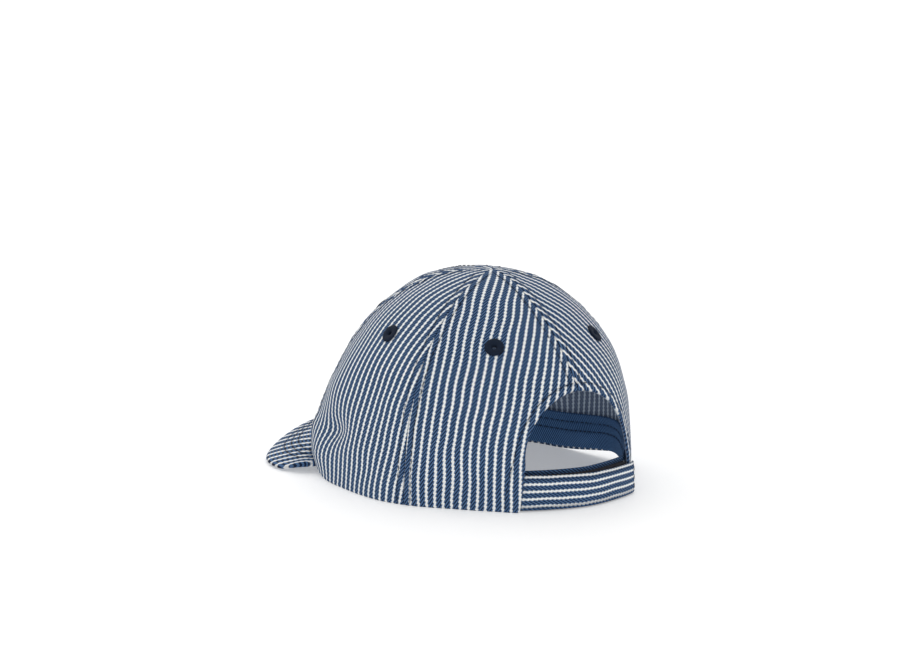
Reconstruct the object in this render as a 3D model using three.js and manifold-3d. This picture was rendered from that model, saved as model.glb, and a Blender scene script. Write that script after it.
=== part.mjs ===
// A small child's six-panel cap of striped twill, standing by itself on a flat surface.
// Millimetres, +Z up. The peak points to -Y, the wearer's left is +X, and the surface is z = 0.

import * as THREE from 'three';
import { mergeVertices } from 'three/addons/utils/BufferGeometryUtils.js';
import Module from 'manifold-3d';

const wasm = await Module();
wasm.setup();

// Crown. A squareness of 2 is an ellipse in plan, and more is squarer.
const FRONT_REACH = 93; // from the top point forwards to the rim
const BACK_REACH = 79; // from the top point backwards to the rim
const HALF_WIDTH = 70.5;
const WIDEST_AHEAD = 8; // the crown is widest this far in front of the top point
const CROWN_HEIGHT = 102.5;
const FRONT_SQUARENESS = 2.45;
const BACK_SQUARENESS = 2.05;
const BACK_DRAWN_IN = 6.6; // how far the strap draws the back quarters in
const BACK_DRAWN_ANGLE = 40; // degrees from straight back
const RIM_LIFT = 15; // how far the curved peak lifts the front of the rim
const RIM_FLAT_ANGLE = 117; // degrees from straight back where the rim starts to leave the surface
const SEAM_TURN = 1.5; // how late, going up, the seams turn from their rim angle to their top angle
const CLOTH = 1.5; // wall of the crown's cloth with its seam tape
const SEAM_GAP = 0.3; // between two pieces that are sewn together
const PANEL_TIP = 1.6; // width of a panel where it ends at the top point

// Opening at the back, and the hole that each eyelet binds
const OPENING_HALF_WIDTH = 30.4;
const OPENING_FLARE = 2.5; // how much wider each side is at the rim
const OPENING_SIDE = 22.8; // height where the straight side ends and the arch starts
const OPENING_HEIGHT = 54;
const EYELET_DIAMETER = 9.1;
const EYELET_HOLE = 1.8;
const EYELET_BARREL = 4.4;
const EYELET_FLANGE = 0.6;
const EYELET_GAP = 0.4; // between the ring and the cloth

// Sweatband
const BAND_HEIGHT = 17.5;
const BAND_WALL = 1.2;
const BAND_ABOVE_RIM = 0.8;

// Peak
const PEAK_LENGTH = 33.4; // at the middle
const PEAK_THICKNESS = 3;
const PEAK_CORNER_GORE = 1.93; // where its corners meet the crown, counted in panels from the back seam
const PEAK_FLARE = 85; // degrees by which its corners point to the side
const PEAK_END = 2; // width of its corners
const PEAK_FRONT_RISE = 7.6; // height of the middle of its front edge
const PEAK_ARCH = 3; // how far it swells upwards between crown and edge
const PEAK_LOBE = 0.83; // share of the half width where the edge comes down to the surface

// Closure strap
const STRAP_WIDTH = 17;
const STRAP_END_WIDTH = 14.8; // the outer strap's free end is narrower
const UNDER_STRAP_WIDTH = 18;
const STRAP_WALL = 1.2;
const STRAP_ABOVE_RIM = 0.5;
const STRAP_BOW = 8; // how far its middle stands out behind the opening's edges
const STRAP_INSIDE = 13; // how far a strap runs on inside a back panel
const STRAP_END = 3.5; // how far the outer strap covers the right back panel
const STRAP_CLEARANCE = 0.5; // between the outer strap and a panel
const TAPE_WALL = 1;
const TAPE_WIDTH = 12.5;
const TAPE_GAP = 0.3;
const TAPE_INSET = 1.5; // how far the tape stops short of the right back panel

// The crown's level sections from the rim up, as shares of CROWN_HEIGHT, of the three reaches and of BACK_DRAWN_IN.
const SECTIONS = [
  { height: 0.0, front: 1.0, side: 1.0, back: 1.0, drawn: 1.0 },
  { height: 0.22, front: 0.965, side: 0.995, back: 0.98, drawn: 0.9 },
  { height: 0.43, front: 0.875, side: 0.95, back: 0.9, drawn: 0.55 },
  { height: 0.62, front: 0.765, side: 0.845, back: 0.76, drawn: 0.2 },
  { height: 0.78, front: 0.635, side: 0.68, back: 0.565, drawn: 0.0 },
  { height: 0.9, front: 0.485, side: 0.475, back: 0.36, drawn: 0.0 },
  { height: 0.97, front: 0.315, side: 0.26, back: 0.175, drawn: 0.0 },
  { height: 1.0, front: 0.0, side: 0.0, back: 0.0, drawn: 0.0 },
];

// Where the seams lie, in degrees from straight back, at the rim and at the top point.
const SEAMS = [
  { rim: 0, top: 0 },
  { rim: 68, top: 60 },
  { rim: 136, top: 138 },
  { rim: 180, top: 180 },
];

// The panels, each between two seams on one side. Its eyelet sits a share of the way from its first seam to the next,
// and so far up, counted in sections.
const PANELS = [
  { name: 'back', firstSeam: 0, eyeletShare: 0.5, eyeletLevel: 3.62 },
  { name: 'side', firstSeam: 1, eyeletShare: 0.44, eyeletLevel: 3.7 },
  { name: 'front', firstSeam: 2, eyeletShare: 0.5, eyeletLevel: 3.7 },
];

const TOP_LEVEL = SECTIONS.length - 1;
const FRONT_ANGLE = SEAMS[SEAMS.length - 1].rim;

// Facets
const PANEL_COLUMNS = 9;
const LEVEL_STEPS = 2;
const BAND_COLUMNS = 9;
const PEAK_COLUMNS = 32;
const PEAK_ROWS = 5;
const STRAP_COLUMNS = 24;
const EYELET_SIDES = 14;
const TIP_ROWS = [0.3, 0.55, 0.75, 0.9, 1]; // how a panel's last rows close up towards its tip

const DENIM = { color: 0x3f5f8c, roughness: 0.85, metalness: 0 };
const PLAIN_TWILL = { color: 0x35588a, roughness: 0.85, metalness: 0 };
const THREAD = { color: 0x18233c, roughness: 0.6, metalness: 0 };
const BLACK_TAPE = { color: 0x101216, roughness: 0.9, metalness: 0 };

const radians = THREE.MathUtils.degToRad;
const cap = new THREE.Group();

// Solids

function flipped(geometry) {
  const index = geometry.index.array;
  for (let i = 0; i < index.length; i += 3) [index[i], index[i + 1]] = [index[i + 1], index[i]];
  return geometry;
}

function signedVolume(geometry) {
  const index = geometry.index.array;
  const corner = (i) => new THREE.Vector3().fromBufferAttribute(geometry.attributes.position, index[i]);
  let volume = 0;
  for (let i = 0; i < index.length; i += 3) volume += corner(i).dot(corner(i + 1).cross(corner(i + 2)));
  return volume / 6;
}

// One closed body with merged corners and its faces pointing out.
function closed(geometry) {
  geometry.deleteAttribute('normal');
  geometry.deleteAttribute('uv');
  const merged = mergeVertices(geometry, 1e-5);
  return signedVolume(merged) < 0 ? flipped(merged) : merged;
}

// A wall between two faces of columns by rows: pointAt(column, row, face) gives a point of face 0 or face 1.
function wall(columns, rows, pointAt) {
  const points = [];
  const triangles = [];
  const at = (column, row, face) => (face * (rows + 1) + row) * (columns + 1) + column;
  const quad = (a, b, c, d) => triangles.push(a, b, c, a, c, d);
  for (const face of [0, 1]) {
    for (let row = 0; row <= rows; row++) {
      for (let column = 0; column <= columns; column++) points.push(pointAt(column, row, face));
    }
  }
  for (let row = 0; row < rows; row++) {
    for (let column = 0; column < columns; column++) {
      quad(at(column, row, 0), at(column + 1, row, 0), at(column + 1, row + 1, 0), at(column, row + 1, 0));
      quad(at(column, row, 1), at(column, row + 1, 1), at(column + 1, row + 1, 1), at(column + 1, row, 1));
    }
    quad(at(0, row, 0), at(0, row + 1, 0), at(0, row + 1, 1), at(0, row, 1));
    quad(at(columns, row, 0), at(columns, row, 1), at(columns, row + 1, 1), at(columns, row + 1, 0));
  }
  for (let column = 0; column < columns; column++) {
    quad(at(column, 0, 0), at(column, 0, 1), at(column + 1, 0, 1), at(column + 1, 0, 0));
    quad(at(column, rows, 0), at(column + 1, rows, 0), at(column + 1, rows, 1), at(column, rows, 1));
  }
  const geometry = new THREE.BufferGeometry().setFromPoints(points);
  geometry.setIndex(triangles);
  return closed(geometry);
}

function toSolid(geometry) {
  const merged = closed(geometry);
  const vertProperties = Float32Array.from(merged.attributes.position.array);
  const triVerts = Uint32Array.from(merged.index.array);
  return new wasm.Manifold(new wasm.Mesh({ numProp: 3, vertProperties, triVerts }));
}

function fromSolid(solid) {
  const mesh = solid.getMesh();
  const geometry = new THREE.BufferGeometry();
  geometry.setAttribute('position', new THREE.BufferAttribute(mesh.vertProperties, 3));
  geometry.setIndex(new THREE.BufferAttribute(mesh.triVerts, 1));
  return geometry;
}

function cut(geometry, ...cutters) {
  const solid = cutters.reduce((left, cutter) => left.subtract(toSolid(cutter)), toSolid(geometry));
  return fromSolid(solid);
}

function addPiece(name, geometry, finish) {
  const piece = new THREE.Mesh(geometry, new THREE.MeshStandardMaterial(finish));
  piece.name = name;
  cap.add(piece);
  return piece;
}

// The crown's surface. A place on it is a gore, 0 at the back seam to 3 at the front seam and negative on the wearer's
// right, and a level, 0 at the rim to TOP_LEVEL at the top point.

// A smooth curve through each column of SECTIONS. Past the top point the curve comes down on the other side.
function sectionAt(level) {
  const row = Math.min(Math.floor(level), TOP_LEVEL - 1);
  const t = level - row;
  const through = (column, beyondTop) => {
    const value = (i) => {
      if (i < 0) return 2 * SECTIONS[0][column] - SECTIONS[1][column];
      if (i > TOP_LEVEL) return beyondTop * SECTIONS[TOP_LEVEL - 1][column];
      return SECTIONS[i][column];
    };
    const [a, b, c, d] = [value(row - 1), value(row), value(row + 1), value(row + 2)];
    return b + 0.5 * t * (c - a + t * (2 * a - 5 * b + 4 * c - d + t * (3 * (b - c) + d - a)));
  };
  return {
    height: through('height', 1),
    front: FRONT_REACH * through('front', -1),
    side: HALF_WIDTH * through('side', -1),
    back: BACK_REACH * through('back', -1),
    widest: WIDEST_AHEAD * through('side', -1),
    drawn: BACK_DRAWN_IN * through('drawn', 1),
  };
}

// Degrees from straight back, without a sign.
function angleAt(gore, level) {
  const whole = Math.min(Math.floor(gore), SEAMS.length - 2);
  const towardsTop = Math.pow(level / TOP_LEVEL, SEAM_TURN);
  const seam = (i) => THREE.MathUtils.lerp(SEAMS[i].rim, SEAMS[i].top, towardsTop);
  return THREE.MathUtils.lerp(seam(whole), seam(whole + 1), gore - whole);
}

function rimHeight(angle) {
  return RIM_LIFT * THREE.MathUtils.smoothstep(angle, RIM_FLAT_ANGLE, FRONT_ANGLE);
}

function outerPoint(gore, level) {
  const lastSeam = SEAMS.length - 1;
  const turned = Math.abs(gore) > lastSeam ? gore - 2 * lastSeam * Math.sign(gore) : gore;
  const section = sectionAt(level);
  const angle = angleAt(Math.abs(turned), level);
  const sine = Math.sin(radians(angle));
  const cosine = Math.cos(radians(angle));
  const lengthwise = cosine > 0 ? section.back + section.widest : section.front - section.widest;
  const squareness = cosine > 0 ? BACK_SQUARENESS : FRONT_SQUARENESS;
  const sideShare = Math.pow(Math.abs(sine) / section.side, squareness);
  const lengthShare = Math.pow(Math.abs(cosine) / lengthwise, squareness);
  const ring = Math.pow(sideShare + lengthShare, -1 / squareness);
  const offAxis = (angle - BACK_DRAWN_ANGLE) / BACK_DRAWN_ANGLE;
  const dent = Math.abs(offAxis) < 1 ? section.drawn * Math.pow(Math.cos(offAxis * Math.PI / 2), 2) : 0;
  const reach = ring - dent;
  const rim = rimHeight(angle);
  return new THREE.Vector3(
    Math.sign(turned) * reach * sine,
    reach * cosine - section.widest,
    rim + (CROWN_HEIGHT - rim) * section.height,
  );
}

const STEP = 1e-4;
const SEARCH_STEP = 1e-3;

function outwardNormal(gore, level) {
  const lower = Math.max(level - STEP, 0);
  const along = outerPoint(gore + STEP, level).sub(outerPoint(gore - STEP, level));
  const up = outerPoint(gore, level + STEP).sub(outerPoint(gore, lower));
  const normal = up.cross(along);
  if (level === 0) normal.z = 0;
  return normal.normalize();
}

// A point under the outer surface by depth, so the wall has one thickness all over.
function crownPoint(gore, level, depth) {
  return outerPoint(gore, level).addScaledVector(outwardNormal(gore, level), -depth);
}

// The level where the crown's side reaches a height above the surface.
function levelAtHeight(height) {
  let low = 0;
  let high = TOP_LEVEL;
  while (high - low > STEP) {
    const middle = (low + high) / 2;
    if (sectionAt(middle).height * CROWN_HEIGHT < height) low = middle;
    else high = middle;
  }
  return (low + high) / 2;
}

// Crown panels and eyelets

function panelTopLevel(firstGore, lastGore) {
  let level = TOP_LEVEL;
  while (outerPoint(firstGore, level - STEP).distanceTo(outerPoint(lastGore, level - STEP)) < PANEL_TIP) {
    level -= SEARCH_STEP;
  }
  return level;
}

function panelLevels(topLevel) {
  const levels = [];
  for (let step = 0; step <= (TOP_LEVEL - 1) * LEVEL_STEPS; step++) levels.push(step / LEVEL_STEPS);
  for (const share of TIP_ROWS) levels.push(THREE.MathUtils.lerp(TOP_LEVEL - 1, topLevel, share));
  return levels;
}

function panelGeometry(firstGore) {
  const lastGore = firstGore + 1;
  const levels = panelLevels(panelTopLevel(firstGore, lastGore));
  return wall(PANEL_COLUMNS, levels.length - 1, (column, row, face) => {
    const level = levels[row];
    const width = outerPoint(firstGore + 0.5 + STEP, level).distanceTo(outerPoint(firstGore + 0.5, level)) / STEP;
    const inset = SEAM_GAP / 2 / width;
    const gore = THREE.MathUtils.lerp(firstGore + inset, lastGore - inset, column / PANEL_COLUMNS);
    return crownPoint(gore, level, face * CLOTH);
  });
}

function openingCutter() {
  const arch = new THREE.Shape();
  const below = -CLOTH;
  arch.moveTo(-OPENING_HALF_WIDTH - OPENING_FLARE, below);
  arch.lineTo(OPENING_HALF_WIDTH + OPENING_FLARE, below);
  arch.lineTo(OPENING_HALF_WIDTH + OPENING_FLARE, 0);
  arch.lineTo(OPENING_HALF_WIDTH, OPENING_SIDE);
  arch.absellipse(0, OPENING_SIDE, OPENING_HALF_WIDTH, OPENING_HEIGHT - OPENING_SIDE, 0, Math.PI, false, 0);
  arch.lineTo(-OPENING_HALF_WIDTH - OPENING_FLARE, 0);
  arch.closePath();
  const depth = BACK_REACH + FRONT_REACH;
  const cutter = new THREE.ExtrudeGeometry(arch, { depth, bevelEnabled: false, curveSegments: 20 });
  cutter.rotateX(Math.PI / 2);
  cutter.translate(0, depth, 0);
  return cutter;
}

// A ring of thread round a hole in the cloth, seen on both faces: a flange outside, a barrel and a flange inside.
function eyeletGeometry() {
  const hole = EYELET_HOLE / 2;
  const barrel = EYELET_BARREL / 2;
  const rim = EYELET_DIAMETER / 2;
  const outside = EYELET_GAP;
  const inside = -CLOTH - EYELET_GAP;
  const profile = [
    [rim, outside],
    [rim - EYELET_FLANGE / 2, outside + EYELET_FLANGE],
    [(hole + barrel) / 2, outside + EYELET_FLANGE],
    [hole, outside],
    [hole, inside],
    [(hole + barrel) / 2, inside - EYELET_FLANGE],
    [rim - EYELET_FLANGE / 2, inside - EYELET_FLANGE],
    [rim, inside],
    [barrel, inside],
    [barrel, outside],
    [rim, outside],
  ].map(([radius, height]) => new THREE.Vector2(radius, height));
  return closed(new THREE.LatheGeometry(profile, EYELET_SIDES));
}

function addPanel({ name, firstSeam, eyeletShare, eyeletLevel }, side) {
  const firstGore = side > 0 ? firstSeam : -firstSeam - 1;
  const eyeletGore = side * (firstSeam + eyeletShare);
  const centre = outerPoint(eyeletGore, eyeletLevel);
  const turn = new THREE.Quaternion().setFromUnitVectors(
    new THREE.Vector3(0, 1, 0),
    outwardNormal(eyeletGore, eyeletLevel),
  );
  const holeRadius = EYELET_BARREL / 2 + EYELET_GAP;
  const hole = new THREE.CylinderGeometry(holeRadius, holeRadius, 4 * CLOTH, EYELET_SIDES);
  hole.applyQuaternion(turn).translate(centre.x, centre.y, centre.z);
  const cutters = firstSeam === 0 ? [hole, openingCutter()] : [hole];
  const word = side > 0 ? 'left' : 'right';
  addPiece(`panel_${name}_${word}`, cut(panelGeometry(firstGore), ...cutters), DENIM);
  const eyelet = addPiece(`eyelet_${name}_${word}`, eyeletGeometry(), THREAD);
  eyelet.quaternion.copy(turn);
  eyelet.position.copy(centre);
}

for (const side of [1, -1]) {
  for (const panel of PANELS) addPanel(panel, side);
}

// The back corners of the opening, counted in gores along the rim.
function openingGore() {
  let gore = 0;
  while (outerPoint(gore, 0).x < OPENING_HALF_WIDTH + OPENING_FLARE) gore += SEARCH_STEP;
  return gore;
}

// The gore that lies a distance further along the rim.
function goreFurther(gore, distance) {
  let last = gore;
  let left = distance;
  while (left > 0) {
    left -= outerPoint(last, 0).distanceTo(outerPoint(last + SEARCH_STEP, 0));
    last += SEARCH_STEP;
  }
  return last;
}

const edgeGore = openingGore();
const strapGore = goreFurther(edgeGore, STRAP_INSIDE);
const bandGore = goreFurther(strapGore, SEAM_GAP + STRAP_WALL);

// Sweatband: a band under the panels' inner face, from one end of the straps round the front to the other.
function bandGeometry() {
  const heights = [0, 0.5, 1].map((share) => BAND_ABOVE_RIM + share * BAND_HEIGHT);
  const levels = heights.map(levelAtHeight);
  const lastSeam = SEAMS.length - 1;
  const halfGores = [bandGore];
  for (let i = Math.ceil(bandGore * BAND_COLUMNS); i <= lastSeam * BAND_COLUMNS; i++) halfGores.push(i / BAND_COLUMNS);
  const otherHalf = halfGores.slice(0, -1).reverse().map((gore) => 2 * lastSeam - gore);
  const gores = [...halfGores, ...otherHalf];
  return wall(gores.length - 1, levels.length - 1, (column, row, face) => {
    return crownPoint(gores[column], levels[row], CLOTH + SEAM_GAP + face * BAND_WALL);
  });
}

addPiece('sweatband', bandGeometry(), PLAIN_TWILL);

// Peak: a curved board. across is -1 to 1 from corner to corner, and out is 0 at the crown to 1 at its edge.
function peakPoint(across, out, face) {
  const lastSeam = SEAMS.length - 1;
  const gore = (across < 0 ? -1 : 1) * (lastSeam - Math.abs(across) * (lastSeam - PEAK_CORNER_GORE));
  const root = crownPoint(gore, 0, -SEAM_GAP);
  const spread = radians(PEAK_FLARE) * across;
  const length = PEAK_END + (PEAK_LENGTH - PEAK_END) * Math.sqrt(Math.max(0, 1 - across * across));
  const rise = PEAK_FRONT_RISE * (1 - THREE.MathUtils.smoothstep(Math.abs(across), 0, PEAK_LOBE));
  const edgeHeight = rise + root.z * THREE.MathUtils.smoothstep(Math.abs(across), PEAK_LOBE, 1);
  const arch = PEAK_ARCH * 4 * out * (1 - out) * Math.cos(across * Math.PI / 2);
  return new THREE.Vector3(
    root.x + out * length * Math.sin(spread),
    root.y - out * length * Math.cos(spread),
    THREE.MathUtils.lerp(root.z, edgeHeight, out) + arch + (1 - face) * PEAK_THICKNESS,
  );
}

addPiece('peak', wall(PEAK_COLUMNS, PEAK_ROWS, (column, row, face) => {
  return peakPoint(-Math.cos(column / PEAK_COLUMNS * Math.PI), row / PEAK_ROWS, face);
}), DENIM);

// Closure: two straps with fastening tape between them. All four follow one line round the back, which lies inside the
// left back panel and in the wall of the right one, and each piece keeps its own distance from that line.
const tapeDepth = TAPE_GAP / 2 + TAPE_WALL;
const strapDepth = tapeDepth + TAPE_GAP;
const leftDepth = CLOTH + STRAP_CLEARANCE + STRAP_WALL + strapDepth;

function strapLine(height) {
  const level = levelAtHeight(height);
  const corner = crownPoint(edgeGore, level, CLOTH / 2);
  const points = [
    crownPoint(strapGore, level, leftDepth),
    crownPoint(edgeGore, level, leftDepth),
    new THREE.Vector3(0, corner.y + STRAP_BOW, height),
    crownPoint(-edgeGore, level, CLOTH / 2),
    crownPoint(-goreFurther(edgeGore, STRAP_END), level, CLOTH / 2),
    crownPoint(-strapGore, level, CLOTH / 2),
  ];
  return new THREE.CatmullRomCurve3(points);
}

// A strip standing on edge along part of the line, between two distances outwards from it.
function strip(start, end, inner, outer, bottom, width, endWidth = width) {
  const lines = [strapLine(bottom), strapLine(bottom + width)];
  return wall(STRAP_COLUMNS, 1, (column, row, face) => {
    const share = column / STRAP_COLUMNS;
    const along = THREE.MathUtils.lerp(start, end, share);
    const point = lines[row].getPointAt(along);
    const tangent = lines[row].getTangentAt(along);
    const away = new THREE.Vector3(tangent.y, -tangent.x, 0).normalize();
    const height = bottom + row * THREE.MathUtils.lerp(width, endWidth, share);
    return point.addScaledVector(away, face === 0 ? outer : inner).setZ(height);
  });
}

const lineLength = strapLine(STRAP_ABOVE_RIM).getLength();
const outerEnd = 1 - (STRAP_INSIDE - STRAP_END) / lineLength;
const tapeStart = STRAP_INSIDE / lineLength;
const tapeEnd = 1 - (STRAP_INSIDE + OPENING_FLARE + TAPE_INSET) / lineLength;
const tapeBottom = STRAP_ABOVE_RIM + (STRAP_END_WIDTH - TAPE_WIDTH) / 2;

function addStrap(name, end, inner, outer, ...widths) {
  addPiece(name, strip(0, end, inner, outer, STRAP_ABOVE_RIM, ...widths), DENIM);
}

function addTape(name, inner, outer) {
  addPiece(name, strip(tapeStart, tapeEnd, inner, outer, tapeBottom, TAPE_WIDTH), BLACK_TAPE);
}

addStrap('closure_strap', outerEnd, strapDepth, strapDepth + STRAP_WALL, STRAP_WIDTH, STRAP_END_WIDTH);
addStrap('under_strap', 1, -strapDepth - STRAP_WALL, -strapDepth, UNDER_STRAP_WIDTH);
addTape('hook_tape', TAPE_GAP / 2, tapeDepth);
addTape('loop_tape', -tapeDepth, -TAPE_GAP / 2);

// The origin is on the surface, at the middle of the cap's length.
const extent = new THREE.Box3().setFromObject(cap);
cap.position.y = -(extent.min.y + extent.max.y) / 2;

export default cap;
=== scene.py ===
"""A small child's six-panel cap of striped twill, standing on a plain pale surface."""

import math

import bmesh
import bpy
import numpy as np
from mathutils import Matrix, Vector


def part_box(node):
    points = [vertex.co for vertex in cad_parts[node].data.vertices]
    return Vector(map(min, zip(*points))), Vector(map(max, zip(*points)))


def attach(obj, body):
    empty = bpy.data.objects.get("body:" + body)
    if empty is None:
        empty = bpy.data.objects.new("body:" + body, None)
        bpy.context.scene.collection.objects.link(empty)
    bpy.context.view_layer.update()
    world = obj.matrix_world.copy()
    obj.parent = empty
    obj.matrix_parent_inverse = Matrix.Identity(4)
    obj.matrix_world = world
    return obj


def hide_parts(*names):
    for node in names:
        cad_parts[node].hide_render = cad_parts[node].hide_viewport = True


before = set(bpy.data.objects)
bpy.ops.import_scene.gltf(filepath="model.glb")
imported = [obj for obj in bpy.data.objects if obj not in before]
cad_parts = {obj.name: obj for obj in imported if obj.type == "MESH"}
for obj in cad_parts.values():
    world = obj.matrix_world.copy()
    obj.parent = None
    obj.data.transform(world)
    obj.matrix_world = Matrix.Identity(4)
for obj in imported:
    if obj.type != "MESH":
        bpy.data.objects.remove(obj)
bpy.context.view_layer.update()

bl_info = {
    "name": "Striped Twill Cap",
    "version": (1, 0, 0),
    "blender": (4, 5, 0),
    "location": "View3D > Sidebar > Cap",
    "description": "Makes a small child's striped twill cap from its sewn pieces",
    "category": "Mesh",
}

MM = 0.001

# The crown's plan and profile, as its solids have them.
FRONT_REACH = 93 * MM
BACK_REACH = 79 * MM
HALF_WIDTH = 70.5 * MM
WIDEST_AHEAD = 8 * MM
CROWN_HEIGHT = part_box("panel_back_left")[1][2]
AXIS_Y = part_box("panel_front_left")[0][1] + FRONT_REACH
FRONT_SQUARENESS = 2.45
BACK_SQUARENESS = 2.05
BACK_DRAWN_IN = 6.6 * MM
BACK_DRAWN_ANGLE = 40
RIM_LIFT = 15 * MM
RIM_FLAT_ANGLE = 117
RIGHT_RIM_FLAT_ANGLE = 128
RIM_HIGH_ANGLE = 165
SEAM_TURN = 1.5
CLOTH = 1.5 * MM

# The rim lies a little off the floor along the wearer's right side: where it begins, is highest and ends, in
# degrees, and by how much.
RIGHT_RIM_ANGLES = (34, 72, 114)
RIGHT_RIM_LIFT = 4.6 * MM

# The crown's level sections from the rim up, as shares of its height and reaches.
SECTION_COLUMNS = ("height", "front", "side", "back", "drawn")
SECTIONS = (
    (0.0, 1.0, 1.0, 1.0, 1.0),
    (0.22, 0.965, 0.995, 0.98, 0.9),
    (0.43, 0.875, 0.95, 0.9, 0.55),
    (0.62, 0.765, 0.845, 0.76, 0.2),
    (0.78, 0.635, 0.68, 0.565, 0.0),
    (0.9, 0.485, 0.475, 0.36, 0.0),
    (0.97, 0.315, 0.26, 0.175, 0.0),
    (1.0, 0.0, 0.0, 0.0, 0.0),
)
PAST_TOP = (1, -1, -1, -1, 1)
TOP_LEVEL = len(SECTIONS) - 1

# Where the seams lie, in degrees from straight back, at the rim and at the top point.
SEAM_AT_RIM = np.array((0, 68, 136, 180))
SEAM_AT_TOP = np.array((0, 60, 138, 180))
LAST_SEAM = len(SEAM_AT_RIM) - 1
PANELS = {"back": 0, "side": 1, "front": 2}
EYELET_LEVELS = {"back": 3.62, "side": 3.7, "front": 3.7}
EYELET_SHARES = {"back": 0.5, "side": 0.44, "front": 0.5}
SIDES = {"left": 1, "right": -1}

# The opening at the back
OPENING_HALF_WIDTH = 30.4 * MM
OPENING_FLARE = 2.5 * MM
OPENING_SIDE = 22.8 * MM
OPENING_HEIGHT = 54 * MM

# The sweatband, the straps and their tapes
SEAM_GAP = 0.3 * MM
BAND_HEIGHT = 17.5 * MM
BAND_WALL = 1.2 * MM
BAND_ABOVE_RIM = 1.5 * MM
BAND_ROWS = (0.5, 0.75)
BAND_RIPPLE = 0.25 * MM
STRAP_WIDTH = 17 * MM
STRAP_END_WIDTH = 14.8 * MM
UNDER_STRAP_WIDTH = 18 * MM
STRAP_WALL = 1.2 * MM
STRAP_ABOVE_RIM = 0.5 * MM
STRAP_BOW = 8 * MM
STRAP_INSIDE = 13 * MM
STRAP_END = 3.5 * MM
STRAP_CLEARANCE = 0.5 * MM
TAPE_WALL = 1 * MM
TAPE_WIDTH = 15 * MM
TAPE_GAP = 0.3 * MM
TAPE_INSET = 1.5 * MM

# The peak
PEAK_LENGTH = 34.8 * MM
PEAK_THICKNESS = 3 * MM
PEAK_THINNED = 1.1 * MM
PEAK_CORNER_GORE = 1.93
PEAK_FLARE = 81.3
PEAK_ROUNDNESS = 2.09
PEAK_END = 2 * MM
PEAK_FRONT_RISE = 9 * MM
PEAK_ARCH = 1 * MM
PEAK_LOBE = 0.6
PEAK_CORNER_LOBE = 0.88
PEAK_FAN = 0.42
PEAK_FAN_LENGTH = 45 * MM
PEAK_SPREAD = 1.42

# The eyelets, out from their axis
EYELET_HOLE = 0.9 * MM
CLOTH_HOLE = 2.5 * MM

# Where the cloth bulges out or, with a minus sign, is dented: the place, the half lengths, the turn and the
# depth.
FOLD_COLUMNS = ("gore", "level", "across", "along", "turn", "depth")
FOLDS = (
    (1.86, 0.5, 17 * MM, 8 * MM, 8, 2.8 * MM),
    (1.68, 1.16, 13 * MM, 6 * MM, 14, -3.8 * MM),
    (1.75, 2.1, 15 * MM, 9 * MM, 10, 0.9 * MM),
    (2.04, 0.7, 15 * MM, 9 * MM, 0, 2.6 * MM),
    (2.02, 2.3, 15 * MM, 11 * MM, 0, -1.3 * MM),
    (2.1, 3.9, 26 * MM, 26 * MM, 0, -1.3 * MM),
    (1.4, 0.45, 10 * MM, 12 * MM, -20, 0.6 * MM),
    (1.1, 0.95, 9 * MM, 12 * MM, 25, -0.9 * MM),
    (0.9, 0.5, 9 * MM, 10 * MM, 20, 0.6 * MM),
    (0.6, 1.15, 13 * MM, 6 * MM, 12, 1.1 * MM),
    (0.72, 0.5, 13 * MM, 6 * MM, 12, -1.0 * MM),
    (0.75, 2.2, 9 * MM, 18 * MM, -15, 0.7 * MM),
    (1.3, 2.2, 10 * MM, 20 * MM, 10, -0.6 * MM),
    (0.45, 4.7, 9 * MM, 14 * MM, 10, 0.6 * MM),
    (-0.75, 0.7, 12 * MM, 6 * MM, -10, -0.8 * MM),
    (-0.85, 1.6, 10 * MM, 9 * MM, -20, 0.7 * MM),
    (-1.45, 1.2, 12 * MM, 18 * MM, 8, 0.7 * MM),
    (-1.86, 0.6, 15 * MM, 9 * MM, -8, 2.0 * MM),
    (-1.64, 1.4, 12 * MM, 7 * MM, -14, -1.6 * MM),
    (2.6, 1.6, 14 * MM, 8 * MM, -20, -0.8 * MM),
)


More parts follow.
